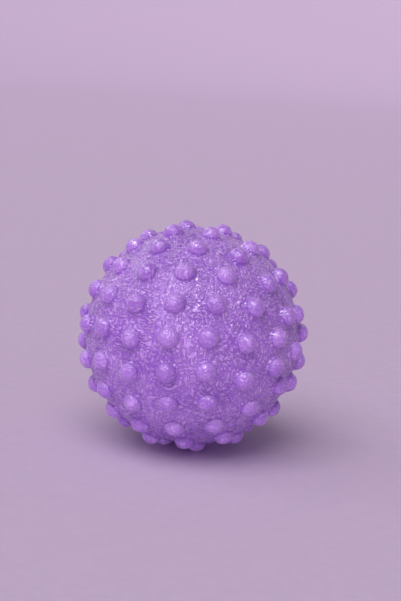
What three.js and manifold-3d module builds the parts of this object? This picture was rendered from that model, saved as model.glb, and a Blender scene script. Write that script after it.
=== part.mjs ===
// Massage ball: a hollow ball of soft PVC with rows of round knobs moulded on it, and an air valve in one pole.
//
// Millimetres, +Z up, origin at the ball's centre. The rows of knobs run round the X axis, the valve is in the
// -X pole, and the ball stands on the knobs at its underside.

import * as THREE from "three";
import { ConvexGeometry } from "three/addons/geometries/ConvexGeometry.js";
import { mergeGeometries, mergeVertices } from "three/addons/utils/BufferGeometryUtils.js";
import Module from "manifold-3d";

const wasm = await Module();
wasm.setup();

// ---- Ball ----
const BALL_ACROSS = 90; // over the tips of the knobs
const SKIN_WALL = 3;
const KNOB_HEIGHT = 3.8;
const KNOB_WIDTH = 7.8; // where the knob leaves the skin

// ---- Rows of knobs, the same in each half, counted from the parting line to the pole ----
const KNOBS_IN_ROW = [20, 18, 12, 8, 1];
const ROW_PITCH = 20; // degrees of latitude; the first row is half a pitch off the parting line
const ROW_START = 18; // degrees, from straight down towards +Y, where the rows line up
const HALF_TWIST = 1.5; // degrees that each half of the mould stands turned against the parting line

// ---- Valve ----
const STEM_WIDTH = 3.4; // of the plug, under its head
const STEM_TAPER = 0.6; // taken off the width by the tip
const HEAD_RIM = 1.5; // how far the head stands out round the stem
const HEAD_THICKNESS = 1;
const HEAD_CHAMFER = 0.25;
const HEAD_PROUD = 0.3; // of the bush's flat face
const TIP_OUTSTAND = 1; // how far the stem reaches past the bush, inside the ball
const BUSH_WALL = 1.5;
const FLANGE_RIM = 1.7; // flat ring of the bush round the plug's head
const FLANGE_THICKNESS = 1.6;
const INNER_RIM = 1.2; // how far the ring inside the ball stands out round the bush's tube
const INNER_RIM_THICKNESS = 1.2;
const BOSS_WALL = 3; // of the skin round the bush
const BOSS_DEPTH = 3; // added to the skin's wall on the inside
const NAIL_SLOT_WIDTH = 2.6;
const NAIL_SLOT_DEPTH = 0.9;
const NAIL_SLOT_END = 0.6; // flange left outside the slot
const LAND_RIM = 1; // flat of the skin round the flange

// ---- Fits ----
const BUSH_CLEARANCE = 0.3; // between the bush and the skin, on every face
const PLUG_CLEARANCE = 0.3; // between the plug and the bush, on every face

// ---- Fineness of the curved faces ----
const HOLLOW_SEGMENTS = 24;
const KNOB_SEGMENTS = 8;
const KNOB_STEPS = 3;
const VALVE_SEGMENTS = 24;
const WELD = 1e-3; // points closer than this are one point

// ---- Sizes that follow ----
const ballRadius = BALL_ACROSS / 2 - KNOB_HEIGHT;
const hollowRadius = ballRadius - SKIN_WALL;
const knobRadius = KNOB_WIDTH / 2;
const stemRadius = STEM_WIDTH / 2;
const headRadius = stemRadius + HEAD_RIM;
const boreRadius = stemRadius + PLUG_CLEARANCE;
const headSeatRadius = headRadius + PLUG_CLEARANCE;
const flangeRadius = headSeatRadius + FLANGE_RIM;
const tubeRadius = boreRadius + BUSH_WALL;
const innerRimRadius = tubeRadius + INNER_RIM;
const holeRadius = tubeRadius + BUSH_CLEARANCE;
const flangeSeatRadius = flangeRadius + BUSH_CLEARANCE;
const landRadius = flangeSeatRadius + LAND_RIM;
const bossRadius = holeRadius + BOSS_WALL;

// Heights, measured outwards from the ball's centre. A ring of some radius lies on the ball at ringHeight.
const ringHeight = (radius) => Math.sqrt(ballRadius ** 2 - radius ** 2);
const knobFoot = ringHeight(knobRadius);
const flangeFace = ringHeight(landRadius);
const flangeBack = flangeFace - FLANGE_THICKNESS;
const flangeSeat = flangeBack - BUSH_CLEARANCE;
const bossEnd = hollowRadius - BOSS_DEPTH;
const innerRimTop = bossEnd - BUSH_CLEARANCE;
const bushEnd = innerRimTop - INNER_RIM_THICKNESS;
const headTop = flangeFace + HEAD_PROUD;
const headUnder = headTop - HEAD_THICKNESS;
const headSeat = headUnder - PLUG_CLEARANCE;
const tipEnd = bushEnd - TIP_OUTSTAND;

// ---- Solids ----
function keepOnlyPosition(geometry) {
  geometry.deleteAttribute("normal");
  geometry.deleteAttribute("uv");
  return geometry;
}

function solidFrom(geometry) {
  const merged = mergeVertices(keepOnlyPosition(geometry.clone()), WELD);
  return new wasm.Manifold(
    new wasm.Mesh({
      numProp: 3,
      vertProperties: merged.attributes.position.array,
      triVerts: new Uint32Array(merged.index.array),
    }),
  );
}

function geometryFrom(solid) {
  const mesh = solid.getMesh();
  const geometry = new THREE.BufferGeometry();
  geometry.setAttribute("position", new THREE.BufferAttribute(mesh.vertProperties, 3));
  geometry.setIndex(new THREE.BufferAttribute(mesh.triVerts, 1));
  const faceted = geometry.toNonIndexed();
  faceted.computeVertexNormals();
  return faceted;
}

function turned(profile, segments) {
  const points = profile.map(([radius, height]) => new THREE.Vector2(radius, height));
  return new THREE.LatheGeometry(points, segments);
}

// ---- Knobs ----
function knobDirection(side, row, index) {
  const step = 360 / KNOBS_IN_ROW[row];
  const stagger = row === 0 ? step / 2 : 0;
  const turn = THREE.MathUtils.degToRad(ROW_START - side * HALF_TWIST - stagger + index * step);
  const latitude = THREE.MathUtils.degToRad((row + 0.5) * ROW_PITCH);
  return new THREE.Vector3(
    side * Math.sin(latitude),
    Math.cos(latitude) * Math.sin(turn),
    -Math.cos(latitude) * Math.cos(turn),
  );
}

// The valve takes the place of the single knob of the pole in the -X half.
function knobDirections() {
  const directions = [];
  for (const side of [1, -1]) {
    const rows = side > 0 ? KNOBS_IN_ROW : KNOBS_IN_ROW.slice(0, -1);
    rows.forEach((count, row) => {
      for (let index = 0; index < count; index++) directions.push(knobDirection(side, row, index));
    });
  }
  return directions;
}

// A dome with an open foot, which stands out of the ball along the direction.
function knob(direction) {
  const profile = [];
  for (let step = 0; step < KNOB_STEPS; step++) {
    const angle = (step / KNOB_STEPS) * (Math.PI / 2);
    const height = knobFoot + (ballRadius + KNOB_HEIGHT - knobFoot) * Math.sin(angle);
    profile.push([knobRadius * Math.cos(angle), height]);
  }
  profile.push([0, ballRadius + KNOB_HEIGHT]);
  const turn = new THREE.Quaternion().setFromUnitVectors(new THREE.Vector3(0, 1, 0), direction);
  return turned(profile, KNOB_SEGMENTS).applyQuaternion(turn);
}

// ---- Valve, in a frame whose +Y points out of the ball ----
const valve = new THREE.Group();
valve.rotation.z = Math.PI / 2;
valve.updateMatrix();

// The edge of the flat land round the flange, as points on the ball.
function landEdge() {
  const points = [];
  for (let index = 0; index < VALVE_SEGMENTS; index++) {
    const angle = (index / VALVE_SEGMENTS) * 2 * Math.PI;
    const point = new THREE.Vector3(landRadius * Math.sin(angle), flangeFace, landRadius * Math.cos(angle));
    points.push(point.applyMatrix4(valve.matrix));
  }
  return points;
}

// What the skin adds on its inside to hold the bush.
function boss() {
  const root = hollowRadius + SKIN_WALL / 2;
  return turned([[0, bossEnd], [bossRadius, bossEnd], [bossRadius, root], [0, root]], VALVE_SEGMENTS);
}

// What the bush needs cut out of the skin and its boss.
function bushRoom() {
  const below = bossEnd - 1;
  const above = ballRadius + 1;
  const profile = [
    [0, below],
    [holeRadius, below],
    [holeRadius, flangeSeat],
    [flangeSeatRadius, flangeSeat],
    [flangeSeatRadius, above],
    [0, above],
  ];
  return turned(profile, VALVE_SEGMENTS);
}

// ---- Skin ----
function cornersOf(geometry) {
  const { position } = geometry.attributes;
  const corners = [];
  for (let index = 0; index < position.count; index++) {
    corners.push(new THREE.Vector3().fromBufferAttribute(position, index));
  }
  return corners;
}

// The outer face. The feet of the knobs are rings on the ball, so each is a flat face of the convex hull round
// them all. The hull without those faces is the skin between the knobs, and the knobs' open feet fit its holes.
function outside() {
  const directions = knobDirections();
  const knobs = directions.map(knob);
  const onBall = (corner) => corner.length() < ballRadius + WELD;
  const feet = knobs.flatMap((geometry) => cornersOf(geometry).filter(onBall));
  const hull = cornersOf(new ConvexGeometry([...feet, ...landEdge()]));
  const between = [];
  for (let index = 0; index < hull.length; index += 3) {
    const face = hull.slice(index, index + 3);
    const underKnob = (direction) => face.every((corner) => corner.dot(direction) > knobFoot - WELD);
    if (!directions.some(underKnob)) between.push(...face);
  }
  const domes = knobs.map((geometry) => keepOnlyPosition(geometry.toNonIndexed()));
  return mergeGeometries([new THREE.BufferGeometry().setFromPoints(between), ...domes]);
}

function skin() {
  const toPole = (geometry) => solidFrom(geometry.applyMatrix4(valve.matrix));
  const ball = new THREE.SphereGeometry(hollowRadius, HOLLOW_SEGMENTS, HOLLOW_SEGMENTS / 2);
  const hollow = solidFrom(ball.applyMatrix4(valve.matrix)).subtract(toPole(boss()));
  return geometryFrom(solidFrom(outside()).subtract(hollow).subtract(toPole(bushRoom())));
}

function nailSlot() {
  const inner = headRadius;
  const outer = flangeRadius - NAIL_SLOT_END;
  const slot = new THREE.BoxGeometry(NAIL_SLOT_WIDTH, 2 * NAIL_SLOT_DEPTH, outer - inner);
  return slot.translate(0, flangeFace, (inner + outer) / 2);
}

function bush() {
  const profile = [
    [boreRadius, bushEnd],
    [innerRimRadius, bushEnd],
    [innerRimRadius, innerRimTop],
    [tubeRadius, innerRimTop],
    [tubeRadius, flangeBack],
    [flangeRadius, flangeBack],
    [flangeRadius, flangeFace],
    [headSeatRadius, flangeFace],
    [headSeatRadius, headSeat],
    [boreRadius, headSeat],
    [boreRadius, bushEnd],
  ];
  return geometryFrom(solidFrom(turned(profile, VALVE_SEGMENTS)).subtract(solidFrom(nailSlot())));
}

function plug() {
  const tipRadius = stemRadius - STEM_TAPER / 2;
  const profile = [
    [0, tipEnd],
    [tipRadius / 2, tipEnd],
    [tipRadius, tipEnd + tipRadius / 2],
    [stemRadius, headUnder],
    [headRadius, headUnder],
    [headRadius, headTop - HEAD_CHAMFER],
    [headRadius - HEAD_CHAMFER, headTop],
    [0, headTop],
  ];
  return turned(profile, VALVE_SEGMENTS);
}

// ---- Assembly ----
function piece(name, geometry, colour, roughness) {
  const material = new THREE.MeshStandardMaterial({ color: colour, roughness, metalness: 0 });
  const mesh = new THREE.Mesh(geometry, material);
  mesh.name = name;
  return mesh;
}

valve.add(piece("valve_bush", bush(), 0x9a70c4, 0.45));
valve.add(piece("valve_plug", plug(), 0xeeeae6, 0.4));

const massageBall = new THREE.Group();
massageBall.add(piece("ball_skin", skin(), 0xb382db, 0.42));
massageBall.add(valve);

export default massageBall;
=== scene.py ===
"""Massage ball: what it looks like, built round the fixed frame of its CAD model.

The ball is a hollow skin of soft purple PVC, cast in a mould of two halves, with rows of round knobs on it.
Its air valve, a bush with a pull-out plug, sits in the -X pole. Everything is in metres, in the frame's axes.
"""

import logging
import math
from dataclasses import dataclass
from enum import Enum
from typing import Optional, Sequence, Union

import bmesh
import bpy
from mathutils import Matrix, Vector


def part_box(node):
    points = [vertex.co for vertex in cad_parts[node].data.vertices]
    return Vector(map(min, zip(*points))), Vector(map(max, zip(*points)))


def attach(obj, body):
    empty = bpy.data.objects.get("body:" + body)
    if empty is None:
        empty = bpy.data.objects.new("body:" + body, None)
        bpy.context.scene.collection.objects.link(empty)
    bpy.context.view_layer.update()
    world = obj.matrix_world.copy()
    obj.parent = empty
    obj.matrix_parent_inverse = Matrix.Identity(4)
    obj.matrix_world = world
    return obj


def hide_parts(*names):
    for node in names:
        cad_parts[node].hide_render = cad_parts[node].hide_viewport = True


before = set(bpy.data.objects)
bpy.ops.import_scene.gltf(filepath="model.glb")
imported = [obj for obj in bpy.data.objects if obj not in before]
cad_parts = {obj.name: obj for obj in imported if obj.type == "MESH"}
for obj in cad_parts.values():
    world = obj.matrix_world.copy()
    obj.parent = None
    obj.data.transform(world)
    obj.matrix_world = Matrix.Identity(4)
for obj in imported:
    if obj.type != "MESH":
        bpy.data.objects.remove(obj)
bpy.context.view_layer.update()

log = logging.getLogger("massage_ball")
MM = 0.001
X_AXIS = Vector((1.0, 0.0, 0.0))
Z_AXIS = Vector((0.0, 0.0, 1.0))

Colour = tuple[float, float, float]
Span = tuple[float, float]
Value = Union["Wire", float, int, Sequence[float]]
Inputs = dict[Union[str, int], Value]


class Half(Enum):
    """The two halves of the ball, each with the sign that X has on its side."""

    FAR = 1
    VALVE = -1


# ---------------------------------------------------------------- node trees


@dataclass(frozen=True)
class Wire:
    """What a node gives out. The usual signs for sums add the nodes that work on it."""

    tree: "Tree"
    socket: bpy.types.NodeSocket

    def __add__(self, other: Value) -> "Wire":
        """Adds to it."""
        return self.tree.math("ADD", self, other)

    def __sub__(self, other: Value) -> "Wire":
        """Takes away from it."""
        return self.tree.math("SUBTRACT", self, other)

    def __rsub__(self, other: float) -> "Wire":
        """Takes it away from a plain number."""
        return self.tree.math("SUBTRACT", other, self)

    def __mul__(self, other: Value) -> "Wire":
        """Multiplies it."""
        return self.tree.math("MULTIPLY", self, other)

    def __truediv__(self, other: Value) -> "Wire":
        """Divides it."""
        return self.tree.math("DIVIDE", self, other)

    def __neg__(self) -> "Wire":
        """Turns its sign round."""
        return self.tree.math("MULTIPLY", self, -1.0)


class Tree:
    """A node tree being written, with short calls for the nodes that this model uses."""

    def __init__(self, tree: bpy.types.NodeTree) -> None:
        """Wraps the tree that new nodes go into."""
        self.tree = tree

    def node(self, kind: str, inputs: Optional[Inputs] = None, **settings: object) -> bpy.types.Node:
        """Adds a node.

        Args:
            kind: the node's type, such as ShaderNodeMath.
            inputs: names or places of sockets, and what each is set to or linked from.
            **settings: properties of the node itself.

        Returns:
            The new node.
        """
        made = self.tree.nodes.new(kind)
        for name, setting in settings.items():
            setattr(made, name, setting)
        for key, value in (inputs or {}).items():
            self.put(made.inputs[key], value)
        return made

    def put(self, socket: bpy.types.NodeSocket, value: Value) -> None:
        """Links a socket, or sets it.

        Args:
            socket: the input to fill.
            value: a wire, or a plain value.
        """
        if isinstance(value, Wire):
            self.tree.links.new(value.socket, socket)
        else:
            socket.default_value = value

    def wire(
        self, kind: str, inputs: Optional[Inputs] = None, output: Union[str, int] = 0, **settings: object
    ) -> Wire:
        """Adds a node and gives one of its outputs.

        Args:
            kind: the node's type.
            inputs: names or places of sockets, and what each is set to or linked from.
            output: the name or place of the output.
            **settings: properties of the node itself.

        Returns:
            The output.
        """
        made = self.node(kind, inputs, **settings)
        return Wire(self, made.outputs[output])

    def math(self, operation: str, first: Value, second: Value = 0.0) -> Wire:
        """Works on one number, or on two."""
        return self.wire("ShaderNodeMath", {0: first, 1: second}, operation=operation)

    def vector(self, operation: str, first: Value, second: Value = (0.0, 0.0, 0.0)) -> Wire:
        """Works on one vector, or on two. A length or a dot product is a number, and the rest are vectors."""
        output = "Value" if operation in ("LENGTH", "DOT_PRODUCT") else "Vector"
        return self.wire("ShaderNodeVectorMath", {0: first, 1: second}, output, operation=operation)

    def scaled(self, vector: Value, factor: Value) -> Wire:
        """Multiplies a vector by a number."""
        return self.wire("ShaderNodeVectorMath", {0: vector, "Scale": factor}, "Vector", operation="SCALE")

    def ramp(self, value: Value, low: Value, high: Value, to_low: Value = 0.0, to_high: Value = 1.0) -> Wire:
        """Eases a value from one range to another and holds it at the ends.

        Args:
            value: what is mapped.
            low: where the ramp starts.
            high: where the ramp ends.
            to_low: the result at its start.
            to_high: the result at its end.

        Returns:
            The mapped value.
        """
        inputs = {0: value, 1: low, 2: high, 3: to_low, 4: to_high}
        return self.wire("ShaderNodeMapRange", inputs, interpolation_type="SMOOTHSTEP")

    def mixed(self, factor: Value, first: Value, second: Value) -> Wire:
        """Mixes two numbers, with the factor as the second one's share."""
        return self.wire("ShaderNodeMix", {0: factor, 2: first, 3: second}, data_type="FLOAT")

    def blended(self, factor: Value, first: Value, second: Value) -> Wire:
        """Mixes two colours.

        Args:
            factor: the share of the second.
            first: the colour at 0.
            second: the colour at 1.

        Returns:
            The mix.
        """
        ends = [end if isinstance(end, Wire) else (*end, 1.0) for end in (first, second)]
        inputs = {"Factor": factor, "A": ends[0], "B": ends[1]}
        return self.wire("ShaderNodeMix", inputs, "Result", data_type="RGBA")

    def noise(self, place: Value, scale: float, layers: float = 2.0, stir: float = 0.0) -> Wire:
        """Adds noise from 0 to 1, with so many waves in a metre."""
        inputs = {"Vector": place, "Scale": scale, "Detail": layers, "Distortion": stir}
        return self.wire("ShaderNodeTexNoise", inputs)

    def blotches(
        self, place: Value, scale: float, layers: float = 3.0, ends: Span = (0.0, 1.0), margin: float = 0.3
    ) -> Wire:
        """Adds soft blotches.

        Args:
            place: where they are read.
            scale: how many there are in a metre.
            layers: how many finer layers they have.
            ends: what the palest and the strongest of them give.
            margin: the share of the noise's range that each of the two ends takes in.

        Returns:
            A value between the two ends.
        """
        return self.ramp(self.noise(place, scale, layers), margin, 1.0 - margin, *ends)

    def bump(self, height: Value) -> Wire:
        """Turns a height in metres into a normal."""
        return self.wire("ShaderNodeBump", {"Strength": 1.0, "Distance": 1.0, "Height": height}, "Normal")

    def surface(self, inputs: Inputs) -> None:
        """Ends a material with its surface."""
        shader = self.wire("ShaderNodeBsdfPrincipled", inputs)
        self.node("ShaderNodeOutputMaterial", {"Surface": shader})


def new_group(name: str, inputs: dict[str, str]) -> tuple[Tree, dict[str, Wire]]:
    """Starts a Geometry Nodes group, which gives out one geometry.

    Args:
        name: what the group is called.
        inputs: the name and the kind of each input.

    Returns:
        The tree, and its inputs by name.
    """
    group = bpy.data.node_groups.new(name, "GeometryNodeTree")
    for socket, kind in inputs.items():
        group.interface.new_socket(socket, in_out="INPUT", socket_type=f"NodeSocket{kind}")
    group.interface.new_socket("Geometry", in_out="OUTPUT", socket_type="NodeSocketGeometry")
    tree = Tree(group)
    given = tree.node("NodeGroupInput")
    return tree, {socket: Wire(tree, given.outputs[socket]) for socket in inputs}


def new_material(name: str) -> tuple[bpy.types.Material, Tree, Wire]:
    """Starts a material.

    Args:
        name: what it is called.

    Returns:
        The material, its empty tree, and the point on the piece, in metres.
    """
    made = bpy.data.materials.new(name)
    made.use_nodes = True
    made.node_tree.nodes.clear()
    tree = Tree(made.node_tree)
    return made, tree, tree.wire("ShaderNodeTexCoord", output="Object")


# ---------------------------------------------------------------- mesh helpers


def new_piece(name: str, mesh: bpy.types.Mesh) -> bpy.types.Object:
    """Puts a mesh into the scene.

    Args:
        name: what the object and its mesh are called.
        mesh: its mesh, in the frame's own place.

    Returns:
        The object, which sits at the origin.
    """
    mesh.name = name
    made = bpy.data.objects.new(name, mesh)
    bpy.context.scene.collection.objects.link(made)
    return made


def applied(obj: bpy.types.Object) -> None:
    """Turns an object's modifiers into plain mesh.

    Args:
        obj: the object, which keeps its name.
    """
    evaluated = obj.evaluated_get(bpy.context.evaluated_depsgraph_get())
    mesh = bpy.data.meshes.new_from_object(evaluated)
    obj.modifiers.clear()
    old = obj.data
    obj.data = mesh
    bpy.data.meshes.remove(old)
    mesh.name = obj.name


def cut_out(piece: bpy.types.Object, shape: bpy.types.Mesh) -> None:
    """Cuts a shape out of a piece.

    Args:
        piece: the piece.
        shape: the closed mesh of what is cut out.
    """
    cutter = new_piece("cutter", shape)
    cut = piece.modifiers.new("Cut", "BOOLEAN")
    cut.operation = "DIFFERENCE"
    cut.object = cutter
    cut.solver = "EXACT"
    applied(piece)
    bpy.data.objects.remove(cutter)


def spun(
    outline: Sequence[Sequence[float]], axis: Vector, segments: int, weld: float = 1e-7
) -> bpy.types.Mesh:
    """Spins an outline once round an axis through the ball's centre.

    Args:
        outline: its points.
        axis: the axis.
        segments: how many flats go round.
        weld: how near to each other its corners are merged.

    Returns:
        The mesh, with its faces outwards where it is closed.
    """
    build = bmesh.new()
    corners = [build.verts.new(point) for point in outline]
    edges = [build.edges.new(pair) for pair in zip(corners, corners[1:])]
    bmesh.ops.spin(
        build,
        geom=corners + edges,
        axis=axis,
        cent=(0.0, 0.0, 0.0),
        angle=2 * math.pi,
        steps=segments,
        use_merge=True,
    )
    bmesh.ops.remove_doubles(build, verts=build.verts, dist=weld)
    bmesh.ops.recalc_face_normals(build, faces=build.faces)
    mesh = bpy.data.meshes.new("spun")
    build.to_mesh(mesh)
    build.free()
    return mesh


def turned(profile: Sequence[Span], segments: int) -> bpy.types.Mesh:
    """Turns a profile, of distances from the X axis and distances out towards -X, into a closed mesh."""
    return spun([(-out, 0.0, away) for away, out in profile], X_AXIS, segments)


def arc(radius: float, start: float, end: float, steps: int) -> list[Span]:
    """Draws an arc about the ball's centre, with angles measured from +X towards -X.

    Args:
        radius: its radius.
        start: where it starts.
        end: where it ends.
        steps: how many flats it has.

    Returns:
        Its points, as distance from the axis and distance out towards -X.
    """
    angles = (start + (end - start) * step / steps for step in range(steps + 1))
    return [(abs(radius * math.sin(angle)), -radius * math.cos(angle)) for angle in angles]


def rounded(profile: Sequence[tuple[float, float, float]], steps: int = 5) -> list[Span]:
    """Rounds the corners of a profile.

    Args:
        profile: each corner's two coordinates and the radius that it is rounded to.
        steps: flats in each rounded corner.

    Returns:
        The rounded profile.
    """
    points: list[Span] = []
    last = len(profile) - 1
    for index, (away, out, radius) in enumerate(profile):
        corner = Vector((away, out))
        if radius <= 0.0 or index in (0, last):
            points.append((away, out))
            continue
        before = (Vector(profile[index - 1][:2]) - corner).normalized()
        after = (Vector(profile[index + 1][:2]) - corner).normalized()
        half_angle = before.angle(after) / 2
        reach = radius / math.tan(half_angle)
        centre = corner + (before + after).normalized() * (radius / math.sin(half_angle))
        start = corner + before * reach - centre
        end = corner + after * reach - centre
        for step in range(steps + 1):
            part = step / steps
            arm = (start * (1 - part) + end * part).normalized() * radius
            points.append(tuple(centre + arm))
    return points


def shade(obj: bpy.types.Object, sharp_above: float) -> None:
    """Shades an object smooth, apart from edges sharper than an angle in degrees."""
    obj.data.shade_smooth()
    obj.data.set_sharp_from_angle(angle=math.radians(sharp_above))


# ---------------------------------------------------------------- grain and parting line


@dataclass(frozen=True)
class Crinkle:
    """The crinkled pattern of the skin: patches of small pebbles, and of wrinkles that run two ways."""

    pebble_scale: float = 720.0
    pebble_edge: Span = (0.12, 0.62)
    softness: float = 0.3
    wrinkle_scale: float = 640.0
    stretch: float = 0.42
    stir: float = 0.6
    crease: float = 0.12
    patch_scale: float = 110.0
    lengthwise_until: Span = (0.42, 0.48)
    upright_from: Span = (0.53, 0.59)

    def height(self, tree: Tree, place: Wire) -> Wire:
        """Writes the pattern's height at a point.

        Args:
            tree: the tree that it is written into.
            place: the point, in metres.

        Returns:
            The height, from 0 in the creases to 1.
        """
        inputs = {"Vector": place, "Scale": self.pebble_scale, "Smoothness": self.softness}
        cells = tree.wire("ShaderNodeTexVoronoi", inputs, "Distance", feature="SMOOTH_F1")
        pebbles = tree.ramp(cells, *self.pebble_edge, 1.0, 0.0)
        patch = tree.noise(place, self.patch_scale, 1.0)
        lengthwise = self._wrinkles(tree, place, (self.stretch, 1.0, 1.0))
        upright = self._wrinkles(tree, place, (1.0, 1.0, self.stretch))
        first = tree.mixed(tree.ramp(patch, *self.lengthwise_until), lengthwise, pebbles)
        return tree.mixed(tree.ramp(patch, *self.upright_from), first, upright)

    def _wrinkles(self, tree: Tree, place: Wire, stretch: Sequence[float]) -> Wire:
        """Writes wrinkles that run one way.

        Args:
            tree: the tree.
            place: the point.
            stretch: how the pattern is drawn out along each axis.

        Returns:
            Their height, from 0 to 1.
        """
        folds = tree.noise(tree.vector("MULTIPLY", place, stretch), self.wrinkle_scale, 1.0, self.stir)
        return tree.ramp(tree.math("ABSOLUTE", folds - 0.5), 0.0, self.crease)


@dataclass(frozen=True)
class PartingLine:
    """The narrow strip that the joint of the mould leaves round the ball, a little askew to the rows."""

    tilt: float = math.radians(5.4)
    towards: float = math.radians(28.0)
    strip_width: float = 2.0 * MM
    groove_width: float = 0.4 * MM
    groove_depth: float = 0.09 * MM
    grain_share: float = 0.6
    patch_scale: float = 55.0
    patch_margin: float = 0.4
    faintest: float = 0.15

    @property
    def axis(self) -> Vector:
        """The direction square to the strip's plane."""
        lean = math.sin(self.tilt)
        return Vector((1.0, lean * math.sin(self.towards), -lean * math.cos(self.towards))).normalized()

    def marks(self, tree: Tree, place: Wire) -> tuple[Wire, Wire]:
        """Writes where the two fine grooves beside the strip are, and how much of the grain is left.

        Args:
            tree: the tree that it is written into.
            place: the point on the skin.

        Returns:
            1 in the grooves and 0 elsewhere, and the share of the grain.
        """
        from_plane = tree.math("ABSOLUTE", tree.vector("DOT_PRODUCT", place, tuple(self.axis)))
        from_groove = from_plane - self.strip_width / 2
        groove = tree.ramp(tree.math("ABSOLUTE", from_groove), 0.0, self.groove_width, 1.0, 0.0)
        seen = tree.blotches(place, self.patch_scale, 1.0, (self.faintest, 1.0), self.patch_margin)
        share = tree.ramp(from_groove, -self.groove_width, self.groove_width, self.grain_share, 1.0)
        return groove * seen, share


# ---------------------------------------------------------------- finishes


@dataclass(frozen=True)
class SoftPvc:
    """Cast soft PVC: slightly see-through, semi-gloss, with a fine crinkled grain between smoother knobs.

    The knob's blend is the two distances from the ball's centre between which the skin runs into a knob.
    """

    name: str
    colour: Colour
    # The darkest colour: the end of the random tone, and the painted shade in the creases of the grain and
    # round the knobs' feet.
    dark_tone_and_shade_colour: Colour
    # The colour of the painted shade in the parting line's grooves.
    groove_shade_colour: Colour
    grain_height: float
    knob_blend: Span
    parting: Optional[PartingLine] = None
    crinkle: Crinkle = Crinkle(pebble_scale=780.0, wrinkle_scale=720.0, patch_scale=140.0, crease=0.17)
    knob_share: float = 0.56
    knob_tone: float = 0.72
    # How much of the tone is left in the crease round a knob's foot, which is painted shade.
    crease_shade_tone: float = 0.35
    # Share of the tone that follows the crinkle's height, which is painted shade in its creases.
    grain_shade_share: float = 0.65
    # How strongly the grooves of the parting line are painted with shade.
    groove_shade_strength: float = 0.45
    fine_height: float = 0.02 * MM
    fine_scale: float = 2400.0
    cloud_scale: float = 70.0
    bleed: float = 0.2
    bleed_reach: float = 1.0 * MM
    bleed_colour: Colour = (0.8, 0.45, 1.0)
    roughness: Span = (0.18, 0.34)
    shine_scale: float = 260.0
    shine_margin: float = 0.35
    bending: float = 1.5
    coat: float = 0.5
    coat_roughness: float = 0.1
    sheen: float = 0.38
    sheen_roughness: float = 0.35
    sheen_tint: Colour = (0.86, 0.74, 1.0)

    def material(self) -> bpy.types.Material:
        """Builds the finish.

        Returns:
            The material.
        """
        made, tree, place = new_material(self.name)
        away = tree.vector("LENGTH", place)
        on_skin = 1.0 - tree.ramp(away, *self.knob_blend)
        share = tree.ramp(on_skin, 0.0, 1.0, self.knob_share, 1.0)
        pattern = self.crinkle.height(tree, place)
        fine = tree.noise(place, self.fine_scale) * self.fine_height
        height = pattern * share * self.grain_height + fine

        # Painted shade: the colour follows the crinkle's height and is darker in its creases; the cloud adds
        # a random tone.
        even = tree.mixed(share, self.knob_tone, pattern)
        cloud = tree.blotches(place, self.cloud_scale)
        tone = even * self.grain_shade_share + cloud * (1.0 - self.grain_shade_share)
        # Painted shade in the crease round each knob's foot.
        tone = tone * self._knob_crease_shade(tree, away)
        colour = tree.blended(tone, self.dark_tone_and_shade_colour, self.colour)
        if self.parting:
            groove, grain_share = self.parting.marks(tree, place)
            groove = groove * on_skin
            height = height * grain_share - groove * self.parting.groove_depth
            # Painted shade in the grooves, on top of their bump.
            colour = tree.blended(groove * self.groove_shade_strength, colour, self.groove_shade_colour)
        normal = tree.bump(height)
        tree.surface(
            {
                "Base Color": colour,
                "Roughness": tree.blotches(
                    place, self.shine_scale, ends=self.roughness, margin=self.shine_margin
                ),
                "Normal": normal,
                "IOR": self.bending,
                "Coat Weight": self.coat,
                "Coat Roughness": self.coat_roughness,
                "Coat IOR": self.bending,
                "Coat Normal": normal,
                "Sheen Weight": self.sheen,
                "Sheen Roughness": self.sheen_roughness,
                "Sheen Tint": (*self.sheen_tint, 1.0),
                "Subsurface Weight": self.bleed,
                "Subsurface Radius": self.bleed_colour,
                "Subsurface Scale": self.bleed_reach,
            }
        )
        return made

    def _knob_crease_shade(self, tree: Tree, away: Wire) -> Wire:
        """Writes how far a point is out of the crease round a knob's foot, where a painted shade darkens the
        colour.

        Args:
            tree: the material's tree.
            away: the point's distance from the ball's centre.

        Returns:
            The share of the tone that is left, which is 1 away from the crease.
        """
        low, high = self.knob_blend
        middle = (low + high) / 2
        into = tree.ramp(away, low, middle)
        out_of = tree.ramp(away, middle, high, 1.0, 0.0)
        return tree.ramp(into * out_of, 0.0, 1.0, 1.0, self.crease_shade_tone)


@dataclass(frozen=True)
class MouldedPlastic:
    """Plain moulded plastic, with the faint unevenness that moulding leaves."""

    name: str
    colour: Colour
    darkest: float = 0.88
    blotch_scale: float = 500.0
    fine_height: float = 0.02 * MM
    fine_scale: float = 2600.0
    roughness: Span = (0.32, 0.46)
    shine_scale: float = 900.0
    bleed: float = 0.2
    bleed_reach: float = 1.0 * MM
    bleed_colour: Colour = (1.0, 0.9, 0.8)

    def material(self) -> bpy.types.Material:
        """Builds the finish.

        Returns:
            The material.
        """
        made, tree, place = new_material(self.name)
        darker = [self.darkest * part for part in self.colour]
        tree.surface(
            {
                "Base Color": tree.blended(tree.blotches(place, self.blotch_scale), darker, self.colour),
                "Roughness": tree.blotches(place, self.shine_scale, 2.0, self.roughness),
                "Normal": tree.bump(tree.noise(place, self.fine_scale) * self.fine_height),
                "Subsurface Weight": self.bleed,
                "Subsurface Radius": self.bleed_colour,
                "Subsurface Scale": self.bleed_reach,
            }
        )
        return made


@dataclass(frozen=True)
class MattPaper:
    """Matt studio paper, with a faint mottle."""

    name: str
    colour: Colour
    mottle: float = 0.015
    mottle_scale: float = 220.0
    roughness: float = 0.9
    gloss: float = 0.1

    def material(self) -> bpy.types.Material:
        """Builds the finish.

        Returns:
            The material.
        """
        made, tree, place = new_material(self.name)
        darker = [(1.0 - self.mottle) * part for part in self.colour]
        lighter = [(1.0 + self.mottle) * part for part in self.colour]
        colour = tree.blended(tree.blotches(place, self.mottle_scale), darker, lighter)
        tree.surface({"Base Color": colour, "Roughness": self.roughness, "Specular IOR Level": self.gloss})
        return made


# ---------------------------------------------------------------- ball skin


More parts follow.
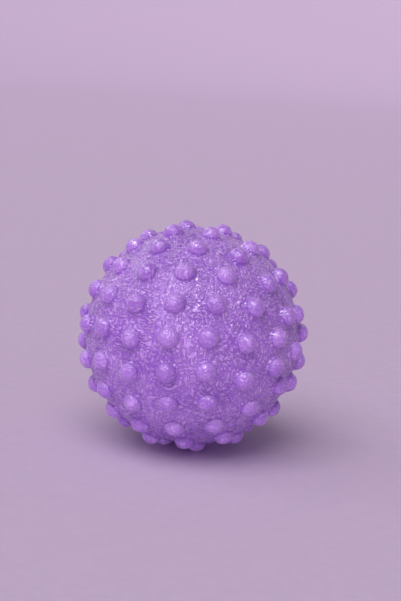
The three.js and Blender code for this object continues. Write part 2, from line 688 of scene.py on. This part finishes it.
@dataclass(frozen=True)
class Knob:
    """The shape of one knob: a dome on the skin, with a fillet round its foot."""

    skin_radius: float
    height: float = 3.8 * MM
    dome_radius: float = 3.85 * MM
    fillet_radius: float = 0.55 * MM
    blend_from: float = 0.3 * MM
    blend_to: float = 1.4 * MM

    @classmethod
    def from_frame(cls) -> "Knob":
        """Takes the ball's size from the CAD skin, which has a knob in its +X pole."""
        return cls(skin_radius=Vector(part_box("ball_skin")[1]).x - cls.height)

    @property
    def tip(self) -> float:
        """How far the tip is from the ball's centre."""
        return self.skin_radius + self.height

    @property
    def blend(self) -> Span:
        """The distances from the ball's centre between which the skin's finish runs into the knob's."""
        return self.skin_radius + self.blend_from, self.skin_radius + self.blend_to

    @property
    def dome_centre(self) -> float:
        """How far the dome's centre is from the ball's centre."""
        return self.tip - self.dome_radius

    @property
    def fillet_centre(self) -> Vector:
        """The centre of the fillet's round, as distance from the knob's axis and distance along it."""
        from_ball = self.skin_radius + self.fillet_radius
        from_dome = self.dome_radius + self.fillet_radius
        along = (from_ball**2 - from_dome**2 + self.dome_centre**2) / (2 * self.dome_centre)
        return Vector((math.sqrt(from_ball**2 - along**2), along))

    @property
    def dome_end(self) -> float:
        """The angle at the dome's centre between the knob's axis and where the dome runs into the fillet."""
        return math.atan2(self.fillet_centre.x, self.fillet_centre.y - self.dome_centre)

    @property
    def foot_end(self) -> float:
        """The angle at the ball's centre between the knob's axis and where the fillet runs into the skin."""
        return math.atan2(self.fillet_centre.x, self.fillet_centre.y)

    @property
    def path(self) -> float:
        """How long the way is from the tip over the dome and the fillet to the skin."""
        return self.dome_radius * self.dome_end + self.fillet_radius * (self.dome_end - self.foot_end)


@dataclass(frozen=True)
class KnobRows:
    """The rule that the knobs stand by. Each half has the same rows, counted from the ball's middle."""

    counts: tuple[int, ...] = (20, 18, 12, 8, 1)
    pitch: float = math.radians(20.0)
    start: float = math.radians(18.0)
    half_twist: float = math.radians(1.5)

    def rows(self, half: Half) -> list[tuple[int, float, float]]:
        """Lists the rows of one half. The valve takes the place of the pole's knob.

        Args:
            half: which half.

        Returns:
            Each row's number of knobs, latitude, and the angle of its first knob from straight down.
        """
        made = []
        for row, count in enumerate(self.counts):
            if half is Half.VALVE and count == 1:
                continue
            stagger = math.pi / count if row == 0 else 0.0
            latitude = half.value * (row + 0.5) * self.pitch
            made.append((count, latitude, self.start - half.value * self.half_twist - stagger))
        return made


@dataclass(frozen=True)
class Grain:
    """The crinkled grain of the skin between the knobs, as far as it is shape and not only finish."""

    height: float = 0.3 * MM
    middle: float = 0.6
    knob_share: float = 0.4
    fade: float = 0.5 * MM
    crinkle: Crinkle = Crinkle()


@dataclass(frozen=True)
class Land:
    """The flat ring of skin round the valve, and how far past it the grain's tips are cut level with it."""

    height: float
    ring: float
    reach: float


@dataclass
class SkinRule:
    """The Geometry Nodes tree that makes the outer face of one half of the skin.

    A half cube, divided into small squares, is blown up to half a ball. Each corner then looks for the
    nearest knob, and is led over its dome and fillet if it lies within its foot.
    """

    knob: Knob
    land: Land
    rows: KnobRows = KnobRows()
    grain: Grain = Grain()
    parting: PartingLine = PartingLine()
    cells: int = 172
    in_plane: float = 1e-6

    def sizes(self) -> dict[str, float]:
        """Names the sizes that the tree takes.

        Returns:
            Each named input and its value.
        """
        knob = self.knob
        return {
            "Ball radius": knob.skin_radius,
            "Dome radius": knob.dome_radius,
            "Dome centre": knob.dome_centre,
            "Dome end": knob.dome_end,
            "Fillet radius": knob.fillet_radius,
            "Fillet away": knob.fillet_centre.x,
            "Fillet along": knob.fillet_centre.y,
            "Knob foot": knob.skin_radius * knob.foot_end,
            "Knob path": knob.path,
            "Grain height": self.grain.height,
            "Groove depth": self.parting.groove_depth,
            "Land height": self.land.height,
            "Land ring": self.land.ring,
            "Land reach": self.land.reach,
        }

    def tree(self, half: Half) -> bpy.types.NodeTree:
        """Makes the whole tree for one half.

        Args:
            half: which half.

        Returns:
            The tree, with its sizes as named inputs.
        """
        kinds = {"Cells": "Int", **dict.fromkeys(self.sizes(), "Float"), "Finish": "Material"}
        tree, size = new_group(f"Skin {half.name.lower()} half", kinds)
        shell = self._half_ball(tree, size, half)
        outwards = tree.vector("NORMALIZE", tree.wire("GeometryNodeInputPosition"))
        place, past_foot = self._over_knobs(tree, size, outwards)
        on_skin = tree.scaled(outwards, size["Ball radius"])
        groove, grain_share = self.parting.marks(tree, on_skin)
        grain = self._grain(tree, size, on_skin, past_foot) * grain_share
        clear = tree.ramp(past_foot, 0.0, self.grain.fade)
        relief = tree.scaled(outwards, grain - groove * size["Groove depth"] * clear)
        final = tree.vector("ADD", place, relief)
        if half is Half.VALVE:
            final = self._flat_land(tree, size, final)
        shaped = tree.wire("GeometryNodeSetPosition", {"Geometry": shell, "Position": final})
        smooth = tree.wire("GeometryNodeSetShadeSmooth", {"Geometry": shaped})
        real = tree.wire("GeometryNodeRealizeInstances", {"Geometry": smooth})
        dressed = tree.wire("GeometryNodeSetMaterial", {"Geometry": real, "Material": size["Finish"]})
        tree.node("NodeGroupOutput", {"Geometry": dressed})
        return tree.tree

    def _half_ball(self, tree: Tree, size: dict[str, Wire], half: Half) -> Wire:
        """Blows half a cube up to half a ball of radius 1, with its rim in the plane of YZ.

        Args:
            tree: the tree.
            size: its named inputs.
            half: which half.

        Returns:
            The half ball, open at its rim.
        """
        whole = size["Cells"] + 1
        part = size["Cells"] / 2 + 1
        box = {"Size": (1.0, 2.0, 2.0), "Vertices X": part, "Vertices Y": whole, "Vertices Z": whole}
        cube = tree.wire("GeometryNodeMeshCube", box, "Mesh")
        at_side = tree.wire("GeometryNodeTransform", {"Geometry": cube, "Translation": (0.5, 0.0, 0.0)})
        corner = tree.wire("GeometryNodeInputPosition")
        rim = tree.math("LESS_THAN", tree.wire("ShaderNodeSeparateXYZ", {0: corner}, "X"), self.in_plane)
        opened = tree.wire(
            "GeometryNodeDeleteGeometry", {"Geometry": at_side, "Selection": rim}, domain="FACE"
        )
        even = tree.vector("TANGENT", tree.scaled(corner, math.pi / 4))
        blown_up = tree.vector("NORMALIZE", even)
        if half is Half.VALVE:
            blown_up = tree.vector("MULTIPLY", blown_up, (-1.0, -1.0, 1.0))
        return tree.wire("GeometryNodeSetPosition", {"Geometry": opened, "Position": blown_up})

    def _row_group(self) -> bpy.types.NodeTree:
        """Makes the group that gives one row of knobs as points on a ball of radius 1.

        Returns:
            The group.
        """
        tree, given = new_group("Knob row", {"Count": "Int", "Latitude": "Float", "First angle": "Float"})
        step = tree.math("DIVIDE", 2 * math.pi, given["Count"])
        turn = given["First angle"] + step * tree.wire("GeometryNodeInputIndex")
        flat = tree.math("COSINE", given["Latitude"])
        place = tree.wire(
            "ShaderNodeCombineXYZ",
            {
                "X": tree.math("SINE", given["Latitude"]),
                "Y": flat * tree.math("SINE", turn),
                "Z": -(flat * tree.math("COSINE", turn)),
            },
        )
        points = tree.wire("GeometryNodePoints", {"Count": given["Count"], "Position": place})
        tree.node("NodeGroupOutput", {"Geometry": points})
        return tree.tree

    def _knobs(self, tree: Tree) -> Wire:
        """Joins the rows of both halves.

        Args:
            tree: the tree.

        Returns:
            All knobs, as points on a ball of radius 1.
        """
        row = self._row_group()
        joined = tree.node("GeometryNodeJoinGeometry")
        for half in Half:
            for count, latitude, first in self.rows.rows(half):
                values = {"Count": count, "Latitude": latitude, "First angle": first}
                tree.put(joined.inputs[0], tree.wire("GeometryNodeGroup", values, node_tree=row))
        return Wire(tree, joined.outputs[0])

    def _over_knobs(self, tree: Tree, size: dict[str, Wire], outwards: Wire) -> tuple[Wire, Wire]:
        """Leads each corner near a knob over the knob's dome and fillet.

        Args:
            tree: the tree.
            size: its named inputs.
            outwards: the corner's direction from the ball's centre.

        Returns:
            The corner's place, and how far it is past the foot of the nearest knob.
        """
        knobs = self._knobs(tree)
        nearest = tree.wire("GeometryNodeSampleNearest", {"Geometry": knobs, "Sample Position": outwards})
        asked = {"Geometry": knobs, "Value": tree.wire("GeometryNodeInputPosition"), "Index": nearest}
        axis = tree.wire("GeometryNodeSampleIndex", asked, "Value", data_type="FLOAT_VECTOR")
        along = tree.vector("DOT_PRODUCT", outwards, axis)
        across = tree.vector("LENGTH", tree.vector("CROSS_PRODUCT", outwards, axis))
        sideways = tree.vector("NORMALIZE", tree.vector("SUBTRACT", outwards, tree.scaled(axis, along)))
        from_axis = tree.math("ARCTAN2", across, along) * size["Ball radius"]
        past_foot = from_axis - size["Knob foot"]

        way = from_axis * (size["Knob path"] / size["Knob foot"])
        dome_angle = way / size["Dome radius"]
        dome = (
            size["Dome radius"] * tree.math("SINE", dome_angle),
            size["Dome centre"] + size["Dome radius"] * tree.math("COSINE", dome_angle),
        )
        dome_way = size["Dome radius"] * size["Dome end"]
        fillet_angle = size["Dome end"] - (way - dome_way) / size["Fillet radius"]
        fillet = (
            size["Fillet away"] - size["Fillet radius"] * tree.math("SINE", fillet_angle),
            size["Fillet along"] - size["Fillet radius"] * tree.math("COSINE", fillet_angle),
        )
        past_dome = tree.math("GREATER_THAN", way, dome_way)
        away, height = (tree.mixed(past_dome, first, second) for first, second in zip(dome, fillet))
        on_knob = tree.vector("ADD", tree.scaled(axis, height), tree.scaled(sideways, away))
        on_skin = tree.scaled(outwards, size["Ball radius"])
        bare = tree.math("GREATER_THAN", past_foot, 0.0)
        place = tree.wire("ShaderNodeMix", {0: bare, 4: on_knob, 5: on_skin}, 1, data_type="VECTOR")
        return place, past_foot

    def _grain(self, tree: Tree, size: dict[str, Wire], on_skin: Wire, past_foot: Wire) -> Wire:
        """Writes the height of the crinkled grain, which fades out on the knobs.

        Args:
            tree: the tree.
            size: its named inputs.
            on_skin: the corner's place on the bare skin.
            past_foot: how far it is past the foot of the nearest knob.

        Returns:
            The height, about zero.
        """
        grain = self.grain
        clear = tree.ramp(past_foot, -grain.fade, grain.fade, grain.knob_share, 1.0)
        return (grain.crinkle.height(tree, on_skin) - grain.middle) * size["Grain height"] * clear

    def _flat_land(self, tree: Tree, size: dict[str, Wire], place: Wire) -> Wire:
        """Flattens the skin round the valve.

        Args:
            tree: the tree.
            size: its named inputs.
            place: the corner's place so far.

        Returns:
            Its place on the flat ring, where it is near enough to the axis, or else the same place.
        """
        x, y, z = (Wire(tree, part) for part in tree.node("ShaderNodeSeparateXYZ", {0: place}).outputs)
        from_axis = tree.math("SQRT", tree.math("POWER", y, 2.0) + tree.math("POWER", z, 2.0))
        level = -size["Land height"]
        lowered = tree.math("MAXIMUM", x, level)
        across = tree.mixed(tree.math("LESS_THAN", from_axis, size["Land reach"]), x, lowered)
        across = tree.mixed(tree.math("LESS_THAN", from_axis, size["Land ring"]), across, level)
        return tree.wire("ShaderNodeCombineXYZ", {"X": across, "Y": y, "Z": z})


@dataclass
class BallSkin:
    """The hollow skin: one casting, made here as two halves so that both can be fine."""

    finish: SoftPvc
    rule: SkinRule
    valve: "ValveSizes"
    wall: float = 3.0 * MM
    segments: int = 96
    weld: float = 0.01 * MM
    sharp_above: float = 52.0

    def build(self) -> list[bpy.types.Object]:
        """Makes both halves and puts them on the ball.

        Returns:
            The two halves.
        """
        material = self.finish.material()
        halves = []
        for half in Half:
            piece = self._outer_face(half, material)
            self._close_rim(piece)
            cut_out(piece, turned(self._hollow(half), self.segments))
            self._weld(piece)
            shade(piece, self.sharp_above)
            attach(piece, "ball")
            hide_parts("ball_skin")
            halves.append(piece)
        return halves

    def _outer_face(self, half: Half, material: bpy.types.Material) -> bpy.types.Object:
        """Runs the rule's tree for one half.

        Args:
            half: which half.
            material: the finish.

        Returns:
            The outer face, open at its rim.
        """
        name = f"skin_{half.name.lower()}_half"
        piece = new_piece(name, bpy.data.meshes.new(name))
        modifier = piece.modifiers.new("Skin", "NODES")
        modifier.node_group = self.rule.tree(half)
        values = {"Cells": self.rule.cells, "Finish": material, **self.rule.sizes()}
        for socket in modifier.node_group.interface.items_tree:
            if socket.in_out == "INPUT":
                modifier[socket.identifier] = values[socket.name]
        applied(piece)
        return piece

    def _close_rim(self, piece: bpy.types.Object) -> None:
        """Closes the open rim with one flat face, so that the half is solid.

        Args:
            piece: the half.
        """
        build = bmesh.new()
        build.from_mesh(piece.data)
        rim = [edge for edge in build.edges if edge.is_boundary]
        bmesh.ops.edgeloop_fill(build, edges=rim)
        bmesh.ops.recalc_face_normals(build, faces=build.faces)
        build.to_mesh(piece.data)
        build.free()

    def _weld(self, piece: bpy.types.Object) -> None:
        """Merges the corners that the cut leaves on top of each other.

        Args:
            piece: the half.
        """
        build = bmesh.new()
        build.from_mesh(piece.data)
        bmesh.ops.remove_doubles(build, verts=build.verts, dist=self.weld)
        bmesh.ops.dissolve_degenerate(build, edges=build.edges, dist=self.weld)
        build.to_mesh(piece.data)
        build.free()

    def _hollow(self, half: Half) -> list[Span]:
        """Draws the profile of what is cut out: the hollow, and on the valve's side the bush's room.

        Args:
            half: which half.

        Returns:
            The profile, from axis to axis.
        """
        radius, valve = self.rule.knob.skin_radius - self.wall, self.valve
        steps = self.segments // 2
        if half is Half.FAR:
            return arc(radius, 0.0, math.pi, steps + 1)
        tip = self.rule.knob.tip
        boss = [
            (valve.boss_radius, valve.boss_end, valve.boss_round),
            (valve.hole_radius, valve.boss_end, 0.0),
            (valve.hole_radius, valve.flange_seat, 0.0),
            (valve.flange_seat_radius, valve.flange_seat, 0.0),
            (valve.flange_seat_radius, tip, 0.0),
            (0.0, tip, 0.0),
        ]
        shell = arc(radius, 0.0, math.pi - math.asin(valve.boss_radius / radius), steps)
        return shell[:-1] + rounded([(*shell[-1], 0.0), *boss])


# ---------------------------------------------------------------- valve


@dataclass(frozen=True)
class ValveSizes:
    """Sizes of the valve, as distances from the X axis and distances out towards -X."""

    flange_radius: float
    flange_face: float
    bush_end: float
    head_radius: float
    head_top: float
    tip_end: float
    head_thickness: float = 1.0 * MM
    head_seat_radius: float = 3.5 * MM
    stem_radius: float = 1.7 * MM
    tip_radius: float = 1.4 * MM
    bore_radius: float = 2.0 * MM
    tube_radius: float = 3.5 * MM
    inner_rim_radius: float = 4.7 * MM
    inner_rim_thickness: float = 1.2 * MM
    flange_thickness: float = 1.6 * MM
    clearance: float = 0.3 * MM
    land_rim: float = 1.0 * MM
    land_reach: float = 2.5 * MM
    boss_wall: float = 3.0 * MM
    boss_round: float = 0.8 * MM
    slot_width: float = 2.6 * MM
    slot_depth: float = 0.9 * MM
    slot_end: float = 0.6 * MM

    @classmethod
    def from_frame(cls) -> "ValveSizes":
        """Takes what can be measured from the CAD nodes.

        Returns:
            The sizes.
        """
        bush_low, bush_high = (Vector(corner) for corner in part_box("valve_bush"))
        plug_low, plug_high = (Vector(corner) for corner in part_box("valve_plug"))
        return cls(
            flange_radius=(bush_high.y - bush_low.y) / 2,
            flange_face=-bush_low.x,
            bush_end=-bush_high.x,
            head_radius=(plug_high.y - plug_low.y) / 2,
            head_top=-plug_low.x,
            tip_end=-plug_high.x,
        )

    @property
    def flange_back(self) -> float:
        """The inner face of the bush's flange."""
        return self.flange_face - self.flange_thickness

    @property
    def flange_seat(self) -> float:
        """The step in the skin that the flange lies over."""
        return self.flange_back - self.clearance

    @property
    def flange_seat_radius(self) -> float:
        """The round pocket in the skin that the flange lies in."""
        return self.flange_radius + self.clearance / 2

    @property
    def land(self) -> Land:
        """The flat ring of the skin, which is level with the flange's outer face."""
        ring = self.flange_seat_radius + self.land_rim
        return Land(height=self.flange_face, ring=ring, reach=self.flange_radius + self.land_reach)

    @property
    def inner_rim_top(self) -> float:
        """The outer face of the ring inside the ball."""
        return self.bush_end + self.inner_rim_thickness

    @property
    def boss_end(self) -> float:
        """The inner end of what the skin adds round the bush."""
        return self.inner_rim_top + self.clearance

    @property
    def hole_radius(self) -> float:
        """The hole in the skin that the bush's tube goes through."""
        return self.tube_radius + self.clearance / 2

    @property
    def boss_radius(self) -> float:
        """The outside of what the skin adds round the bush."""
        return self.tube_radius + self.clearance + self.boss_wall

    @property
    def head_under(self) -> float:
        """The underside of the plug's head."""
        return self.head_top - self.head_thickness

    @property
    def head_seat(self) -> float:
        """The step in the bush that the head lies over."""
        return self.head_under - self.clearance


@dataclass
class Valve:
    """The air valve: a bush in the skin, and the plug that is pulled out of it to pump the ball up."""

    sizes: ValveSizes
    bush_finish: SoftPvc
    plug_finish: MouldedPlastic
    fine_edge: float = 0.125 * MM
    edge: float = 0.25 * MM
    head_edge: float = 0.4 * MM
    soft_edge: float = 0.5 * MM
    edge_steps: int = 4
    segments: int = 96
    sharp_above: float = 40.0

    def build(self) -> list[bpy.types.Object]:
        """Makes the bush and the plug, each on its body.

        Returns:
            The two pieces.
        """
        bush = new_piece("valve_bush_soft", self._bush())
        bush.data.materials.append(self.bush_finish.material())
        cut_out(bush, self._nail_slot())
        shade(bush, self.sharp_above)
        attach(bush, "ball")
        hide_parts("valve_bush")

        plug = new_piece("valve_plug_moulded", self._plug())
        plug.data.materials.append(self.plug_finish.material())
        shade(plug, self.sharp_above)
        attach(plug, "plug")
        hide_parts("valve_plug")
        return [bush, plug]

    def _bush(self) -> bpy.types.Mesh:
        """Turns the bush.

        Returns:
            Its mesh.
        """
        size, edge = self.sizes, self.edge
        profile = [
            (size.bore_radius, size.bush_end, 0.0),
            (size.inner_rim_radius, size.bush_end, edge),
            (size.inner_rim_radius, size.inner_rim_top, edge),
            (size.tube_radius, size.inner_rim_top, 0.0),
            (size.tube_radius, size.flange_back, 0.0),
            (size.flange_radius, size.flange_back, self.fine_edge),
            (size.flange_radius, size.flange_face, self.soft_edge),
            (size.head_seat_radius, size.flange_face, edge),
            (size.head_seat_radius, size.head_seat, 0.0),
            (size.bore_radius, size.head_seat, edge),
            (size.bore_radius, size.bush_end, 0.0),
        ]
        return turned(rounded(profile), self.segments)

    def _plug(self) -> bpy.types.Mesh:
        """Turns the plug, with a shallow dish in its head.

        Returns:
            Its mesh.
        """
        size, edge = self.sizes, self.edge
        dish = size.head_radius / 2
        profile = [
            (0.0, size.tip_end, 0.0),
            (size.tip_radius, size.tip_end, self.soft_edge),
            (size.tip_radius, size.tip_end + size.tip_radius, edge),
            (size.stem_radius, size.tip_end + 2 * size.tip_radius, edge),
            (size.stem_radius, size.head_under, self.fine_edge),
            (size.head_radius, size.head_under, self.fine_edge),
            (size.head_radius, size.head_top, self.head_edge),
            (dish, size.head_top, edge),
            (dish - edge, size.head_top - edge, self.fine_edge),
            (0.0, size.head_top - edge, 0.0),
        ]
        return turned(rounded(profile), self.segments)

    def _nail_slot(self) -> bpy.types.Mesh:
        """Shapes the slot for a fingernail, which lies in the flange above the plug's head.

        Returns:
            The mesh of what is cut out.
        """
        size = self.sizes
        inner, outer = size.head_radius, size.flange_radius - size.slot_end
        build = bmesh.new()
        bmesh.ops.create_cube(build, size=1.0)
        place = Matrix.Translation((-size.flange_face, 0.0, (inner + outer) / 2))
        shape = Matrix.Diagonal((2 * size.slot_depth, size.slot_width, outer - inner, 1.0))
        bmesh.ops.transform(build, matrix=place @ shape, verts=build.verts)
        bmesh.ops.bevel(
            build, geom=build.edges, offset=self.edge, segments=self.edge_steps, affect="EDGES", profile=0.5
        )
        mesh = bpy.data.meshes.new("slot")
        build.to_mesh(mesh)
        build.free()
        return mesh


# ---------------------------------------------------------------- studio


@dataclass(frozen=True)
class Softbox:
    """A far, wide light, with its direction from the ball and its width in degrees."""

    name: str
    azimuth: float
    elevation: float
    width: float
    power: float
    casts_shadow: bool = True
    gloss_only: bool = False

    def hang(self) -> None:
        """Hangs the light up and turns it to the ball."""
        data = bpy.data.lights.new(self.name, "SUN")
        data.angle = math.radians(self.width)
        data.energy = self.power
        data.use_shadow = self.casts_shadow
        made = bpy.data.objects.new(self.name, data)
        out = direction(math.radians(self.azimuth), math.radians(self.elevation))
        made.rotation_euler = out.to_track_quat("Z", "Y").to_euler()
        made.visible_diffuse = not self.gloss_only
        bpy.context.scene.collection.objects.link(made)


@dataclass(frozen=True)
class Studio:
    """The room that the ball stands in: a pale lilac floor with a far wall, soft lights and the camera."""

    floor_height: float
    floor_radius: float = 4.4
    cove_radius: float = 2.0
    cove_steps: int = 24
    wall_top: float = 2.6
    segments: int = 128
    weld: float = 1e-6
    paper: MattPaper = MattPaper(name="lilac_paper", colour=(0.51, 0.392, 0.55))
    camera_azimuth: float = math.radians(22.2)
    camera_elevation: float = math.radians(12.5)
    camera_roll: float = math.radians(3.4)
    camera_distance: float = 0.494
    lens: float = 76.0
    nearest: float = 0.01
    aim_right: float = math.radians(0.37)
    aim_up: float = math.radians(1.58)
    lights: tuple[Softbox, ...] = (
        Softbox("key_glint", -2.0, 66.0, 10.0, 0.8, gloss_only=True),
        Softbox("rim_glint", -120.0, 30.0, 40.0, 0.7, gloss_only=True),
        Softbox("top", 0.0, 60.0, 50.0, 1.68),
        Softbox("side", -62.0, 38.0, 60.0, 0.72),
        Softbox("fill", 25.0, 32.0, 60.0, 0.66),
        Softbox("bounce", 8.0, -28.0, 50.0, 0.88, casts_shadow=False),
    )
    glow: Colour = (1.0, 1.0, 1.0)
    glow_strength: float = 0.27

    def build(self) -> None:
        """Makes the bowl, the lights, the glow and the camera."""
        self._bowl()
        for light in self.lights:
            light.hang()
        self._glow()
        self._camera()
        bpy.context.scene.view_settings.view_transform = "Standard"

    def _bowl(self) -> None:
        """Makes the floor, which rises in one curve to a round wall."""
        outline = [(0.0, 0.0), (self.floor_radius / 2, 0.0)]
        for step in range(self.cove_steps + 1):
            angle = math.pi / 2 * step / self.cove_steps
            away = self.floor_radius + self.cove_radius * math.sin(angle)
            outline.append((away, self.cove_radius * (1 - math.cos(angle))))
        outline.append((self.floor_radius + self.cove_radius, self.wall_top))
        points = [(away, 0.0, self.floor_height + up) for away, up in outline]
        bowl = new_piece("backdrop", spun(points, Z_AXIS, self.segments, self.weld))
        bowl.data.shade_smooth()
        bowl.data.materials.append(self.paper.material())

    def _glow(self) -> None:
        """Sets the room's even light."""
        world = bpy.data.worlds.new("room")
        world.use_nodes = True
        background = world.node_tree.nodes["Background"]
        background.inputs["Color"].default_value = (*self.glow, 1.0)
        background.inputs["Strength"].default_value = self.glow_strength
        bpy.context.scene.world = world

    def _camera(self) -> None:
        """Puts the camera up, aimed a little above the ball and to its right."""
        data = bpy.data.cameras.new("camera")
        data.lens = self.lens
        data.clip_start = self.nearest
        camera = bpy.data.objects.new("camera", data)
        back = direction(self.camera_azimuth, self.camera_elevation)
        upright = back.to_track_quat("Z", "Y")
        aimed = upright.to_matrix() @ Matrix.Rotation(self.camera_roll, 3, "Z")
        aimed = aimed @ Matrix.Rotation(self.aim_up, 3, "X") @ Matrix.Rotation(-self.aim_right, 3, "Y")
        camera.matrix_world = Matrix.Translation(back * self.camera_distance) @ aimed.to_4x4()
        bpy.context.scene.collection.objects.link(camera)
        bpy.context.scene.camera = camera


def direction(azimuth: float, elevation: float) -> Vector:
    """Gives the direction from the ball at an angle round from -Y towards +X, and at an angle up."""
    flat = math.cos(elevation)
    return Vector((math.sin(azimuth) * flat, -math.cos(azimuth) * flat, math.sin(elevation)))


# ---------------------------------------------------------------- the whole ball


def main() -> None:
    """Builds the ball round the frame, and the room that it is looked at in."""
    logging.basicConfig(level=logging.INFO, format="%(message)s")
    knob = Knob.from_frame()
    valve = ValveSizes.from_frame()
    purple = SoftPvc(
        name="purple_soft_pvc",
        colour=(0.6, 0.322, 0.865),
        dark_tone_and_shade_colour=(0.25, 0.075, 0.51),
        groove_shade_colour=(0.24, 0.09, 0.46),
        grain_height=0.34 * MM,
        knob_blend=knob.blend,
        parting=PartingLine(),
    )
    darker = SoftPvc(
        name="valve_soft_pvc",
        colour=(0.3, 0.13, 0.55),
        dark_tone_and_shade_colour=(0.25, 0.1, 0.48),
        groove_shade_colour=(0.25, 0.1, 0.48),
        grain_height=0.02 * MM,
        knob_blend=(knob.tip, knob.tip + knob.height),
    )
    milky = MouldedPlastic(name="milky_plastic", colour=(0.8, 0.77, 0.74))

    Studio(floor_height=Vector(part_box("ball_skin")[0]).z).build()
    skin = BallSkin(finish=purple, rule=SkinRule(knob=knob, land=valve.land), valve=valve).build()
    valve_pieces = Valve(sizes=valve, bush_finish=darker, plug_finish=milky).build()
    for piece in (*skin, *valve_pieces):
        piece.data.calc_loop_triangles()
        log.info("%s: %d triangles", piece.name, len(piece.data.loop_triangles))


if __name__ == "__main__":
    main()
